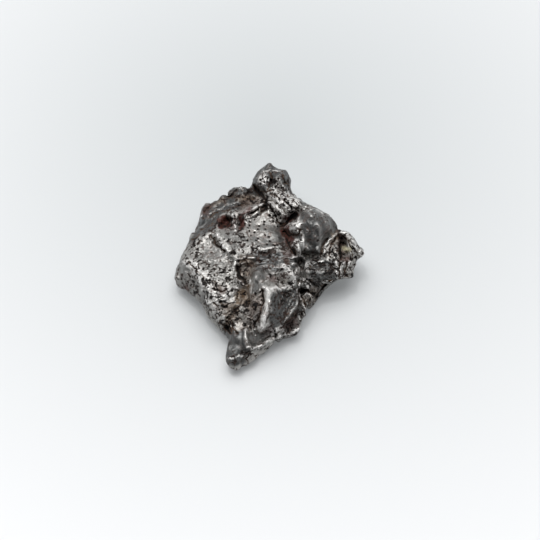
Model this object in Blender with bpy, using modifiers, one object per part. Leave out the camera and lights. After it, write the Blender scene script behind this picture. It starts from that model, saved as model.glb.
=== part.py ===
"""A small iron meteorite: one lumpy, hollowed piece of nickel-iron, at rest on its underside.

The object is in metres with +Z up. The origin is on the surface that it rests on. Its show face
looks up and to the front, which is -Y.

The form is sculpted in millimetres and scaled to metres at the end. Lumps are joined and softened,
the sides that the show face doesn't reach are scooped, the outline is drawn in to the specimen's
own, and then facets, hollows, ledges and ridges are worked into the show face.

Places on the show face are given on its drawing grid, as seen from EYE: x to the right and y
down, in steps of GRID, with FACE_CENTRE at (270, 270).
"""

import math

import bmesh
import bpy
import numpy as np
from mathutils import Euler, Matrix, Vector, noise
from mathutils.bvhtree import BVHTree

METRES_PER_MM = 0.001

# How the show face is laid out
FACE_CENTRE = Vector((0.1, -1.8, 6.0))
FACE_ELEVATION = math.radians(52)
EYE_DISTANCE = 364.5
GRID = 0.18
GRID_CENTRE = 270
FACE_OUT = Vector((0.0, -math.cos(FACE_ELEVATION), math.sin(FACE_ELEVATION)))
FACE_RIGHT = Vector((1.0, 0.0, 0.0))
FACE_UP = FACE_OUT.cross(FACE_RIGHT)
EYE = FACE_CENTRE + FACE_OUT * EYE_DISTANCE

# Grain of the sculpted surface, and of the finished solid
VOXEL = 0.26
MASS_SOFTENING = 16
LUMP_SOFTENING = 8
BEAD_SOFTENING = 2
FINAL_SOFTENING = 1
TRIANGLES = 9600

# The masses, joined first: name, place on the grid, height of the centre, radii in mm, and turn
# about X, Y and Z in degrees
MASSES = (
    ("core", (252, 266), 4.8, (12.4, 13.4, 4.7), (0, 0, 0)),
    ("back", (252, 228), 4.9, (8.5, 6.6, 3.9), (0, 0, 8)),
    ("back left", (220, 228), 4.2, (5.0, 6.5, 3.6), (0, 0, 35)),
    ("right", (306, 244), 6.0, (5.8, 6.8, 5.2), (0, 0, -12)),
    ("knob root", (275, 199), 6.0, (3.2, 4.2, 3.4), (0, 0, 0)),
    ("arm root", (331, 262), 5.0, (4.4, 3.8, 3.4), (0, 0, -10)),
    ("front", (270, 306), 4.0, (6.2, 6.0, 4.0), (0, 0, 10)),
    ("left", (206, 268), 3.9, (4.8, 7.0, 3.6), (0, 0, -15)),
    ("lower left", (222, 300), 3.6, (4.6, 5.0, 3.4), (0, 0, -30)),
    ("horn root", (242, 337), 2.7, (3.0, 4.4, 2.6), (0, 0, 0)),
)

# The lumps that stand out from the masses, given in the same way
LUMPS = (
    ("central rise", (252, 238), 6.4, (7.6, 6.2, 2.6), (0, 0, 20)),
    ("lower left face", (216, 295), 4.0, (4.0, 4.4, 3.6), (0, 0, -20)),
    ("left corner", (189, 277), 3.1, (2.4, 3.0, 2.6), (0, 0, 0)),
    ("left bowl", (203, 252), 4.8, (3.4, 5.2, 3.2), (0, 0, -25)),
    ("back left rim", (222, 217), 4.4, (5.6, 2.6, 2.8), (0, 0, 41)),
    ("back rim", (245, 201), 5.6, (3.4, 2.2, 2.6), (0, 0, 0)),
    ("knob neck", (276, 196), 7.2, (3.2, 3.4, 3.2), (0, 0, 0)),
    ("knob left half", (266, 181), 8.0, (2.5, 2.9, 3.2), (0, 0, 20)),
    ("knob right half", (278, 182), 8.2, (2.6, 2.8, 3.2), (0, 0, 0)),
    ("back right ridge", (292, 211), 8.6, (5.2, 2.6, 3.4), (0, 0, -37)),
    ("shoulder", (313, 231), 9.0, (4.0, 4.2, 4.0), (0, 0, 0)),
    ("shoulder tip", (326, 232), 8.2, (2.4, 2.8, 2.8), (0, 0, 0)),
    ("shoulder foot", (293, 240), 7.8, (1.7, 2.6, 2.0), (0, 0, 15)),
    ("arm end", (347, 248), 5.8, (2.6, 3.0, 3.4), (0, 0, 0)),
    ("arm", (331, 254), 6.0, (3.2, 3.0, 3.0), (0, 0, 0)),
    ("arm block", (322, 268), 5.6, (3.5, 1.9, 2.2), (0, 0, 6)),
    ("arm underside", (347, 267), 4.6, (2.0, 2.0, 2.4), (0, 0, 0)),
    ("lobe under the arm", (310, 291), 3.2, (2.1, 3.0, 2.8), (0, 0, 0)),
    ("front right lobe", (290, 325), 2.3, (2.3, 2.2, 2.0), (0, 0, 0)),
    ("front ridge", (266, 303), 6.4, (2.4, 5.4, 3.4), (22, 0, -8)),
    ("knee", (260, 280), 8.4, (1.8, 2.0, 2.2), (0, 0, 0)),
    ("right bump", (287, 276), 8.2, (2.1, 1.9, 2.2), (0, 0, 0)),
    ("horn tip", (235, 354), 2.4, (1.8, 3.2, 1.9), (0, 0, -18)),
    ("ledge beside the horn", (256, 342), 2.4, (3.0, 2.0, 1.7), (0, 0, 22)),
    ("corner above the horn", (227, 326), 3.0, (2.4, 2.4, 2.4), (0, 0, 0)),
)

# The beads, joined last and softened least
BEADS = (
    ("left bead", (206, 209), 4.2, (1.1, 1.2, 1.2), (0, 0, 0)),
    ("left lump", (207, 205), 4.6, (0.8, 0.8, 0.8), (0, 0, 0)),
    ("curl", (236, 189), 5.6, (0.9, 0.7, 0.8), (0, 0, 0)),
    ("lump by the curl", (231, 193), 5.6, (0.8, 0.6, 0.8), (0, 0, 30)),
    ("knob tip", (269, 167), 10.0, (1.0, 0.9, 1.3), (0, 0, 0)),
    ("knob ear", (286, 174), 8.8, (1.1, 1.1, 1.2), (0, 0, 0)),
    ("arm shoulder bead", (342, 233), 7.6, (0.8, 0.7, 0.8), (0, 0, 0)),
    ("arm end bead", (360, 253), 6.2, (1.0, 0.9, 1.0), (0, 0, 0)),
    ("arm underside bead", (351, 275), 4.4, (0.8, 0.7, 0.9), (0, 0, 0)),
    ("horn end", (234, 363), 2.2, (1.5, 1.2, 1.5), (0, 0, 0)),
    ("ledge below the horn facet", (247, 357), 1.7, (2.1, 1.6, 1.3), (0, 0, 20)),
    ("left corner tip", (181, 285), 2.4, (1.1, 1.0, 1.0), (0, 0, 0)),
)

# The feet that it rests on: (x, y), radius, and how far it reaches below the ground before it is
# cut off level
FEET = (
    ((-11.0, -2.8), 3.0, 0.4),
    ((-3.5, -13.6), 2.4, 0.4),
    ((8.5, -3.0), 3.4, 1.1),
    ((-2.0, 11.0), 3.2, 0.4),
)

# The outline of the show face, anticlockwise from the knob's tip, around OUTLINE_HUB
OUTLINE_HUB = (258, 262)
OUTLINE = (
    (269, 162), (266, 164), (262, 168), (256, 172), (253, 178), (252, 184), (247, 187),
    (238, 187), (233, 187), (228, 191), (220, 195), (215, 200), (210, 202), (205, 203),
    (202, 207), (200, 214), (199, 220), (195, 227), (190, 234), (189, 241), (185, 249),
    (181, 256), (178, 263), (175, 272), (174, 279), (176, 285), (180, 289), (186, 292),
    (193, 297), (199, 302), (203, 308), (207, 316), (213, 324), (219, 330), (224, 335),
    (227, 342), (226, 350), (225, 358), (226, 364), (231, 369), (237, 372), (243, 369),
    (249, 364), (256, 360), (262, 356), (266, 351), (273, 346), (280, 342), (288, 339),
    (295, 336), (300, 331), (301, 325), (303, 320), (308, 314), (312, 309), (315, 304),
    (319, 298), (323, 292), (328, 287), (334, 283), (341, 281), (349, 280), (354, 277),
    (354, 270), (356, 263), (359, 259), (364, 256), (365, 253), (363, 249), (359, 247),
    (357, 242), (353, 236), (347, 231), (341, 230), (338, 228), (335, 221), (331, 216),
    (324, 212), (317, 207), (308, 204), (303, 201), (297, 195), (291, 189), (290, 185),
    (291, 180), (288, 174), (286, 170), (278, 169), (273, 165),
)

# Facets: name, corners, rise at the middle, further rise per step to the right and down, and
# width of the soft edge in mm
FACETS = (
    ("left flank", ((174, 266), (186, 260), (199, 274), (206, 291), (208, 308), (190, 304)),
     -0.6, (0.05, -0.05), 0.5),
    ("far left bowl", ((190, 246), (205, 235), (216, 244), (223, 256), (211, 268), (196, 266)),
     -0.5, (-0.010, 0.010), 0.9),
    ("left middle plate", ((221, 236), (234, 232), (250, 238), (250, 250), (230, 252)),
     0.3, (-0.02, 0.0), 0.4),
    ("central plate", ((244, 216), (264, 209), (280, 228), (276, 242), (250, 243), (242, 230)),
     -0.3, (0.01, 0.01), 0.7),
    ("slope below the knob", ((266, 204), (290, 193), (302, 206), (292, 214), (283, 226)),
     0.4, (0.03, -0.03), 0.8),
    ("knob left facet", ((257, 174), (267, 170), (269, 181), (265, 190), (258, 187)),
     0.1, (0.05, 0.02), 0.3),
    ("knob right facet", ((272, 178), (282, 172), (288, 182), (286, 190), (274, 190)),
     0.2, (-0.02, -0.06), 0.3),
    ("shoulder face", ((300, 215), (314, 213), (328, 224), (328, 240), (312, 251), (302, 238)),
     -0.4, (0.0, -0.03), 0.35),
    ("upper foot of the shoulder", ((285, 226), (295, 222), (300, 230), (298, 236), (291, 234)),
     0.8, (0.03, 0.0), 0.25),
    ("lower foot of the shoulder", ((289, 245), (296, 238), (303, 245), (303, 257), (297, 253)),
     0.7, (0.03, 0.0), 0.25),
    ("right slope of the ridge", ((273, 289), (295, 288), (298, 306), (288, 320), (270, 330)),
     0.2, (-0.05, 0.0), 0.5),
    ("top of the arm block", ((306, 260), (322, 257), (340, 264), (338, 279), (318, 277),
                              (306, 272)), 0.5, (0.0, 0.02), 0.35),
    ("arm facet", ((325, 240), (337, 236), (338, 252), (326, 254)), -0.2, (-0.04, 0.0), 0.4),
    ("rusty pit", ((218, 220), (226, 216), (233, 219), (232, 230), (222, 232)),
     -1.0, (-0.04, 0.0), 0.35),
    ("upper hole", ((237, 268), (241, 262), (250, 261), (254, 266), (252, 275), (246, 282),
                    (239, 279)), -0.7, (0.03, -0.05), 0.5),
    ("lower hole", ((234, 292), (240, 286), (250, 284), (251, 296), (251, 305), (243, 309),
                    (236, 303)), -0.5, (-0.03, 0.0), 0.6),
    ("back left slope", ((185, 249), (199, 226), (214, 207), (232, 194), (250, 193), (246, 210),
                         (222, 214), (204, 232), (191, 243)), -0.3, (0.03, 0.03), 0.5),
    ("horn back", ((229, 331), (243, 331), (246, 348), (230, 350)), -0.3, (0.02, 0.02), 0.5),
)

# Hollows and swellings: name, place, half width and half height in steps, turn in degrees, rise
# in mm or, if less than nothing, depth, and how steep the sides are, from 1 to 4
DABS = (
    ("bottom of the rusty pit", (227, 225), 6, 6, 0, -0.8, 1),
    ("small pit beside it", (239, 226), 4, 8, 10, -1.0, 1),
    ("valley below the knob", (246, 203), 13, 6, 30, -0.9, 1),
    ("valley between the knob's halves", (270, 181), 4, 10, -10, -0.4, 1),
    ("knob right crease", (286, 182), 3, 8, -15, -0.6, 1),
    ("bottom of the upper hole", (242, 275), 5, 8, 15, -1.0, 1),
    ("bottom of the lower hole", (246, 297), 6, 9, 0, -0.5, 1),
    ("knee", (258, 285), 9, 14, 0, 1.3, 1.5),
    ("brown dimple", (273, 279), 6, 6, 0, -1.2, 1),
    ("right bump", (288, 276), 10, 10, 0, 0.9, 1),
    ("pit left of the shoulder", (285, 237), 7, 9, -35, -1.6, 2),
    ("shoulder highlight", (312, 216), 8, 5, -30, 0.4, 1),
    ("valley down the shoulder", (304, 247), 5, 10, -10, -0.7, 1),
    ("gap under the shoulder", (311, 256), 12, 7, -8, -1.9, 2),
    ("cavity in the arm", (343, 247), 6, 15, 5, -2.6, 2),
    ("rim of the cavity", (354, 244), 6, 8, -30, 0.5, 1),
    ("hollow under the arm", (303, 292), 5, 8, 0, -1.3, 1),
    ("lump under the arm", (309, 302), 7, 9, 0, 1.3, 1.5),
    ("small lump under the arm", (303, 284), 5, 5, 0, 1.2, 1.5),
    ("pit in the front right lobe", (290, 325), 9, 7, 35, -1.4, 2),
    ("facet beside the horn", (258, 339), 11, 6, 25, -0.75, 2),
    ("pit above the horn", (226, 327), 6, 7, 40, -1.3, 1),
    ("brown pit on the lower face", (234, 313), 5, 7, 0, -0.7, 1),
    ("rough swelling", (216, 302), 10, 10, 0, 0.6, 1),
    ("lower swelling", (224, 316), 7, 5, 15, 0.5, 1),
    ("horn end", (235, 360), 9, 7, 0, 0.5, 2),
)

# Ridges and creases: name, path, half width in mm, rise or depth in mm
STROKES = (
    ("valley across the face", ((232, 263), (262, 261), (285, 262), (300, 262)), 1.2, -0.8),
    ("crest of the front ridge", ((265, 287), (270, 295), (269, 308), (264, 320), (260, 331)),
     0.5, 1.2),
    ("crevice below the knob", ((254, 186), (260, 192), (266, 198), (272, 202)), 0.5, -1.6),
    ("slot under the brow's end", ((258, 210), (262, 209), (265, 206)), 0.24, -0.6),
    ("crevice left of the shoulder", ((281, 229), (288, 221), (296, 214), (302, 210)), 0.6, -1.6),
    ("crevice below the shoulder", ((285, 247), (291, 238), (297, 238), (303, 252), (304, 262)),
     0.4, -0.9),
    ("gap between ridge and arm", ((300, 262), (301, 275), (300, 290), (301, 306), (297, 318)),
     0.6, -1.8),
    ("gap under the arm block", ((305, 278), (316, 282), (324, 285), (318, 298), (313, 308)),
     0.5, -1.8),
    ("crease between the lumps under the arm", ((300, 291), (307, 291), (315, 294)), 0.3, -0.8),
    ("crease beside the arm facet", ((334, 229), (327, 238), (322, 248)), 0.4, -0.9),
    ("crease beside the ridge foot", ((272, 333), (284, 322), (296, 314)), 0.5, -0.8),
    ("left slot", ((212, 237), (215, 242), (220, 247), (225, 252)), 0.3, -0.8),
    ("streak on the back left slope", ((196, 233), (212, 218), (230, 206), (246, 196)),
     0.5, -0.5),
    ("rim by the bead", ((204, 214), (214, 205), (230, 197)), 0.5, -0.4),
    ("crest above the left bowl", ((190, 243), (202, 235), (212, 229), (222, 214), (236, 212)),
     0.6, 0.7),
    ("rim above the upper hole", ((234, 266), (237, 260), (245, 257), (254, 259)), 0.4, 0.5),
    ("lip below the upper hole", ((236, 273), (239, 281), (246, 285)), 0.4, 0.7),
    ("left rim of the horn facet", ((245, 330), (245, 339), (249, 348)), 0.4, 0.6),
    ("lower rim of the horn facet", ((249, 349), (260, 346), (270, 338)), 0.4, 0.5),
    ("rim of the front right lobe", ((271, 341), (285, 337), (296, 333), (300, 325)), 0.5, 0.7),
    ("wrinkle across the slope", ((266, 200), (277, 209), (284, 219)), 0.35, 0.45),
    ("second wrinkle across the slope", ((270, 196), (281, 203), (290, 212)), 0.35, 0.5),
    ("third wrinkle across the slope", ((275, 191), (288, 200), (299, 207)), 0.35, 0.5),
    ("furrow across the slope", ((268, 198), (280, 207), (287, 216)), 0.3, -0.5),
    ("second furrow across the slope", ((273, 193), (285, 202), (294, 209)), 0.3, -0.5),
    ("flow across the face", ((232, 268), (240, 262), (256, 258), (276, 262), (296, 259)),
     0.4, 0.45),
    ("second flow across the face", ((256, 268), (272, 266), (284, 268), (297, 268)), 0.4, 0.4),
    ("left edge of the knee", ((252, 302), (251, 290), (253, 278), (260, 272)), 0.4, 0.5),
    ("streak on the lower left face", ((222, 300), (230, 292), (236, 284)), 0.5, 0.5),
    ("furrow on the lower left face", ((212, 290), (222, 284), (228, 276)), 0.4, -0.4),
    ("second furrow on the lower left face", ((218, 312), (227, 306), (232, 298)), 0.35, -0.3),
    ("crease at the left corner", ((190, 268), (190, 280), (196, 294)), 0.5, -0.6),
    ("rib on the horn", ((237, 332), (238, 345), (236, 354)), 0.6, 0.2),
    ("crease before the horn's end", ((228, 361), (235, 363), (243, 360)), 0.3, -0.4),
    ("rim of the right slope", ((297, 289), (297, 302), (291, 315), (281, 325), (271, 334)),
     0.4, 0.5),
    ("furrow on the right slope", ((288, 294), (290, 304), (284, 316)), 0.6, -0.35),
    ("rib on the arm block", ((308, 270), (322, 270), (336, 274)), 0.4, 0.4),
    ("furrow on the arm block", ((312, 265), (324, 264), (338, 268)), 0.35, -0.5),
)

# Ledges: name, path, rise of the side that is on the right hand along the path, in mm, how far
# the raised side reaches, and the width of the step, in mm
LEDGES = (
    ("brow over the central plate", ((266, 205), (258, 208), (250, 213), (242, 219)),
     0.9, 2.0, 0.3),
    ("edge of the left middle plate", ((230, 255), (223, 247), (219, 238), (221, 231)),
     0.9, 3.0, 0.35),
    ("edge of the left bowl", ((207, 292), (200, 277), (192, 269), (182, 261)), 0.9, 2.4, 0.5),
    ("right wall of the lower hole", ((252, 305), (250, 296), (250, 284), (253, 274)),
     0.9, 2.0, 0.35),
    ("lower edge of the arm block", ((340, 282), (330, 283), (317, 279), (305, 275), (303, 262)),
     1.2, 2.5, 0.35),
    ("lower edge of the right bump", ((276, 287), (288, 288), (297, 282), (298, 270)),
     0.7, 1.8, 0.35),
    ("edge of the slope over the plate", ((283, 228), (276, 218), (268, 206)), 0.5, 1.8, 0.4),
    ("edge of the lower left face", ((230, 335), (220, 322), (210, 308), (206, 294)),
     0.8, 2.4, 0.5),
)

# Scoops on the sides that the show face doesn't reach, and roughness all over
SCOOP_SIZE = 6.0
SCOOP_DEPTH = 2.6
SCOOP_SHIFT = Vector((3.1, 7.7, 1.9))
ROUGHNESS_SIZE = 1.9
ROUGHNESS = 0.3
ROUGHNESS_SHIFT = Vector((40.0, 11.0, 5.0))
NOISE_SEED = 3


def on_face(place):
    """The point of the show face's plane at a place of the grid."""
    right = (place[0] - GRID_CENTRE) * GRID
    up = (GRID_CENTRE - place[1]) * GRID
    return FACE_CENTRE + FACE_RIGHT * right + FACE_UP * up


def at_height(place, height):
    """The point at a height above the ground that is seen at a place of the grid."""
    line = on_face(place) - EYE
    return EYE + line * ((height - EYE.z) / line.z)


def depth_of(points):
    """Each point's distance in front of the eye, as a share of EYE_DISTANCE."""
    return (points - np.array(EYE)) @ -np.array(FACE_OUT) / EYE_DISTANCE


def places_of(points):
    """The place of the grid at which the eye sees each point."""
    offset = (points - np.array(EYE)) / depth_of(points)[:, None]
    right = offset @ np.array(FACE_RIGHT)
    up = offset @ np.array(FACE_UP)
    return np.column_stack([GRID_CENTRE + right / GRID, GRID_CENTRE - up / GRID])


def directions_to_eye(points):
    to_eye = np.array(EYE) - points
    return to_eye / np.linalg.norm(to_eye, axis=1)[:, None]


def add_lump(bm, centre, radii, turns):
    """Adds an ellipsoid to the heap of lumps."""
    turned = Euler([math.radians(t) for t in turns]).to_matrix().to_4x4()
    matrix = Matrix.Translation(centre) @ turned @ Matrix.Diagonal((*radii, 1.0))
    bmesh.ops.create_icosphere(bm, subdivisions=4, radius=1.0, matrix=matrix)


def add_lumps(mesh, lumps):
    """Adds lumps, given by their places on the grid, to what the mesh holds."""
    bm = bmesh.new()
    bm.from_mesh(mesh)
    for _, place, height, radii, turns in lumps:
        add_lump(bm, at_height(place, height), radii, turns)
    bm.to_mesh(mesh)
    bm.free()


def add_feet(mesh):
    bm = bmesh.new()
    bm.from_mesh(mesh)
    for (x, y), radius, reach in FEET:
        add_lump(bm, Vector((x, y, radius - reach)), (radius,) * 3, (0, 0, 0))
    bm.to_mesh(mesh)
    bm.free()


def settle(obj):
    """Applies the object's modifiers to its mesh."""
    graph = bpy.context.evaluated_depsgraph_get()
    mesh = bpy.data.meshes.new_from_object(obj.evaluated_get(graph))
    obj.modifiers.clear()
    obj.data = mesh


def join_surface(obj, softening):
    """Makes one closed skin of what the object holds, and softens it."""
    skin = obj.modifiers.new("skin", "REMESH")
    skin.mode = "VOXEL"
    skin.voxel_size = VOXEL
    soften = obj.modifiers.new("soften", "SMOOTH")
    soften.factor = 0.5
    soften.iterations = softening
    settle(obj)


def points_of(mesh):
    points = np.empty(len(mesh.vertices) * 3)
    mesh.vertices.foreach_get("co", points)
    return points.reshape(-1, 3)


def normals_of(mesh):
    normals = np.empty(len(mesh.vertices) * 3)
    mesh.vertices.foreach_get("normal", normals)
    return normals.reshape(-1, 3)


def put_points(mesh, points):
    mesh.vertices.foreach_set("co", points.ravel())
    mesh.update()


def seen_from_eye(mesh, points):
    """How far each point is in the eye's view, from 0, hidden or turned away, to 1."""
    tree = BVHTree.FromPolygons(
        [v.co for v in mesh.vertices], [p.vertices for p in mesh.polygons]
    )
    to_eye = directions_to_eye(points)
    seen = np.clip((normals_of(mesh) * to_eye).sum(axis=1) / 0.25, 0, 1)
    for i in np.flatnonzero(seen > 0):
        start = Vector(points[i] + to_eye[i] * 0.3)
        if tree.ray_cast(start, Vector(to_eye[i]))[0] is not None:
            seen[i] = 0
    return seen


def scoop_hidden_sides(mesh):
    """Presses rounded scoops into the sides that the eye doesn't see, and roughens all of it."""
    points = points_of(mesh)
    hidden = 1 - seen_from_eye(mesh, points)
    scoops = np.empty(len(points))
    rough = np.empty(len(points))
    for i, point in enumerate(points):
        place = Vector(point) + noise.noise_vector(Vector(point) / 4) * 1.2
        scoops[i] = noise.voronoi(place / SCOOP_SIZE + SCOOP_SHIFT)[0][0]
        rough[i] = noise.fractal(place / ROUGHNESS_SIZE + ROUGHNESS_SHIFT, 1.0, 2.0, 2)
    push = hidden * SCOOP_DEPTH * (np.clip(scoops, 0, 0.75) ** 1.5 - 0.35) + ROUGHNESS * rough
    put_points(mesh, points + normals_of(mesh) * push[:, None])


def polar(places):
    """The angle and distance of each place around OUTLINE_HUB."""
    offset = np.array(places, dtype=float) - np.array(OUTLINE_HUB)
    return np.arctan2(offset[:, 1], offset[:, 0]), np.hypot(*offset.T)


def draw_in_outline(mesh):
    """Moves the surface across the sight lines until its outline is OUTLINE."""
    points = points_of(mesh)
    places = places_of(points)
    angle, reach = polar(places)
    sectors = 144
    edges = np.linspace(-math.pi, math.pi, sectors + 1)
    sector = np.clip(np.digitize(angle, edges) - 1, 0, sectors - 1)
    rim = np.array([reach[sector == s].max() for s in range(sectors)])
    rim_now = np.interp(angle, (edges[:-1] + edges[1:]) / 2, rim, period=2 * math.pi)
    wanted_angle, wanted_reach = polar(OUTLINE)
    order = np.argsort(wanted_angle)
    rim_wanted = np.interp(
        angle, wanted_angle[order], wanted_reach[order], period=2 * math.pi
    )
    share = np.clip(reach / rim_now, 0, 1) ** 4
    grow = share * (rim_wanted / rim_now - 1)
    across = (places - np.array(OUTLINE_HUB)) * (grow * depth_of(points) * GRID)[:, None]
    put_points(mesh, points + across @ np.array([FACE_RIGHT, -FACE_UP]))


def soft_bump(distance, steepness):
    """A bump that is 1 at distance 0, and 0 from distance 1 on."""
    return (1 - np.clip(distance, 0, 1) ** (1 + steepness)) ** 2


def soft_step(distance, width):
    """Rises from 0 to 1 while the distance goes from -width to width."""
    t = np.clip((distance + width) / (2 * width), 0, 1)
    return t * t * (3 - 2 * t)


def elliptic_distance(places, centre, half_width, half_height, turn):
    offset = places - np.array(centre)
    c, s = math.cos(math.radians(turn)), math.sin(math.radians(turn))
    along = (offset[:, 0] * c - offset[:, 1] * s) / half_width
    across = (offset[:, 0] * s + offset[:, 1] * c) / half_height
    return np.hypot(along, across)


def path_distance(places, path):
    """Each place's distance in mm from a path of straight stretches, and on which side it is.

    The side is 1 on the right hand along the path and -1 on the left.
    """
    nearest = np.full(len(places), np.inf)
    side = np.ones(len(places))
    for a, b in zip(np.array(path[:-1], dtype=float), np.array(path[1:], dtype=float)):
        along = b - a
        share = np.clip((places - a) @ along / (along @ along), 0, 1)
        distance = np.linalg.norm(places - a - share[:, None] * along, axis=1) * GRID
        turn = along[0] * (places[:, 1] - a[1]) - along[1] * (places[:, 0] - a[0])
        nearer = distance < nearest
        nearest[nearer] = distance[nearer]
        side[nearer] = np.sign(turn[nearer])
    return nearest, side


def inside_distance(places, corners):
    """Each place's distance in mm from the edge of a many-cornered area, positive inside."""
    distance, _ = path_distance(places, corners + corners[:1])
    inside = np.zeros(len(places), dtype=bool)
    for (ax, ay), (bx, by) in zip(corners, corners[1:] + corners[:1]):
        crosses = (ay > places[:, 1]) != (by > places[:, 1])
        at = (bx - ax) * (places[:, 1] - ay) / ((by - ay) or 1) + ax
        inside ^= crosses & (places[:, 0] < at)
    return np.where(inside, distance, -distance)


def relief(places):
    """The rise of the show face's detail at each place, in mm."""
    rise = np.zeros(len(places))
    for _, corners, height, (right, down), edge in FACETS:
        offset = places - np.mean(corners, axis=0)
        facet = height + offset[:, 0] * right + offset[:, 1] * down
        rise += facet * soft_step(inside_distance(places, corners), edge)
    for _, centre, half_width, half_height, turn, height, steepness in DABS:
        distance = elliptic_distance(places, centre, half_width, half_height, turn)
        rise += height * soft_bump(distance, steepness)
    for _, path, half_width, height in STROKES:
        distance, _ = path_distance(places, path)
        rise += height * soft_bump(distance / (2 * half_width), 1)
    for _, path, height, reach, width in LEDGES:
        distance, side = path_distance(places, path)
        rise += height * soft_step(distance * side, width) * soft_bump(distance / reach, 0.5)
    return rise


def work_show_face(mesh):
    """Works the detail into the show face, along the sight lines."""
    points = points_of(mesh)
    rise = relief(places_of(points)) * seen_from_eye(mesh, points)
    put_points(mesh, points + directions_to_eye(points) * rise[:, None])


def thin_out(obj, triangles):
    """Lowers the number of triangles and keeps the form."""
    obj.data.calc_loop_triangles()
    thin = obj.modifiers.new("thin out", "DECIMATE")
    thin.ratio = triangles / len(obj.data.loop_triangles)
    thin.use_collapse_triangulate = True
    settle(obj)


def centre_on_origin(mesh):
    """Puts the middle of the box around the mesh over the origin."""
    points = points_of(mesh)
    middle = (points.min(axis=0) + points.max(axis=0)) / 2
    mesh.transform(Matrix.Translation((-middle[0], -middle[1], 0.0)))


def flatten_feet(obj):
    """Cuts the feet off level with the ground, and closes each cut with a flat face."""
    bm = bmesh.new()
    bm.from_mesh(obj.data)
    everything = bm.verts[:] + bm.edges[:] + bm.faces[:]
    cut = bmesh.ops.bisect_plane(
        bm, geom=everything, plane_co=(0, 0, 0), plane_no=(0, 0, 1), clear_inner=True
    )
    rim = [e for e in cut["geom_cut"] if isinstance(e, bmesh.types.BMEdge)]
    bmesh.ops.holes_fill(bm, edges=rim, sides=0)
    bmesh.ops.triangulate(bm, faces=bm.faces[:])
    bm.to_mesh(obj.data)
    bm.free()


def iron_material():
    iron = bpy.data.materials.new("meteoric iron")
    iron.use_nodes = True
    shader = iron.node_tree.nodes["Principled BSDF"]
    shader.inputs["Base Color"].default_value = (0.30, 0.29, 0.28, 1.0)
    shader.inputs["Metallic"].default_value = 1.0
    shader.inputs["Roughness"].default_value = 0.38
    return iron


def clear_scene():
    for obj in list(bpy.data.objects):
        bpy.data.objects.remove(obj, do_unlink=True)


def main():
    clear_scene()
    noise.seed_set(NOISE_SEED)
    collection = bpy.data.collections.new("meteorite")
    bpy.context.scene.collection.children.link(collection)
    meteorite = bpy.data.objects.new("meteorite", bpy.data.meshes.new("meteorite"))
    collection.objects.link(meteorite)
    add_lumps(meteorite.data, MASSES)
    join_surface(meteorite, MASS_SOFTENING)
    add_lumps(meteorite.data, LUMPS)
    add_feet(meteorite.data)
    join_surface(meteorite, LUMP_SOFTENING)
    scoop_hidden_sides(meteorite.data)
    add_lumps(meteorite.data, BEADS)
    join_surface(meteorite, BEAD_SOFTENING)
    draw_in_outline(meteorite.data)
    work_show_face(meteorite.data)
    join_surface(meteorite, FINAL_SOFTENING)
    thin_out(meteorite, TRIANGLES)
    flatten_feet(meteorite)
    centre_on_origin(meteorite.data)
    meteorite.data.transform(Matrix.Scale(METRES_PER_MM, 4))
    meteorite.data.materials.clear()
    meteorite.data.materials.append(iron_material())
    meteorite.data.shade_smooth()


main()
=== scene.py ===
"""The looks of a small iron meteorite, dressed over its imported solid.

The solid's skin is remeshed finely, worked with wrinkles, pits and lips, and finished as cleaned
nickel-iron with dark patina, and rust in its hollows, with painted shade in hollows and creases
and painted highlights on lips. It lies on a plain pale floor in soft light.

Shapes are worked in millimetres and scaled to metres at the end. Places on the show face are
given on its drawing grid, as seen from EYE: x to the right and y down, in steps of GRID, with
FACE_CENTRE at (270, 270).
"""

import math

import bpy
import numpy as np
from mathutils import Matrix, Vector, noise
from mathutils.bvhtree import BVHTree


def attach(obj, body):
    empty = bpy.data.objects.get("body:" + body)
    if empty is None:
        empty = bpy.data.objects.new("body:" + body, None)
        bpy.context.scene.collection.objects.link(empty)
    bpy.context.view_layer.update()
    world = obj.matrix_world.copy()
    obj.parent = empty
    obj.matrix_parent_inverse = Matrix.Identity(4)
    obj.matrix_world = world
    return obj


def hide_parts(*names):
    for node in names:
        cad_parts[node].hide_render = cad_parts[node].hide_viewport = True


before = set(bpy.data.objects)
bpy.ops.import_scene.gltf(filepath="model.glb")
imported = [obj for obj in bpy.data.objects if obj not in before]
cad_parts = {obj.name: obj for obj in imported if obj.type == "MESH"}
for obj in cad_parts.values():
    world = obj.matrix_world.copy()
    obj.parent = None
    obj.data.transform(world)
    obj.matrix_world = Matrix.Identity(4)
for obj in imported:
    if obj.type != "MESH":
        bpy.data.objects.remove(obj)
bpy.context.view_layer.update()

METRES_PER_MM = 0.001

# How the show face is laid out, in mm, and the camera that looks at it: its lens and sensor in
# mm, and its nearest and furthest sight in metres
FACE_CENTRE = Vector((0.1, -1.8, 6.0))
FACE_ELEVATION = math.radians(52)
EYE_DISTANCE = 364.5
GRID = 0.18
GRID_CENTRE = 270
FACE_OUT = Vector((0.0, -math.cos(FACE_ELEVATION), math.sin(FACE_ELEVATION)))
FACE_RIGHT = Vector((1.0, 0.0, 0.0))
FACE_UP = FACE_OUT.cross(FACE_RIGHT)
EYE = FACE_CENTRE + FACE_OUT * EYE_DISTANCE
LENS = 135
SENSOR = 36
CLIP = 0.01, 10

# The fine skin: its grain in mm, rounds of softening, and most triangles
VOXEL = 0.165
SOFTENING = 7
MOST_TRIANGLES = 190000

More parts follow.
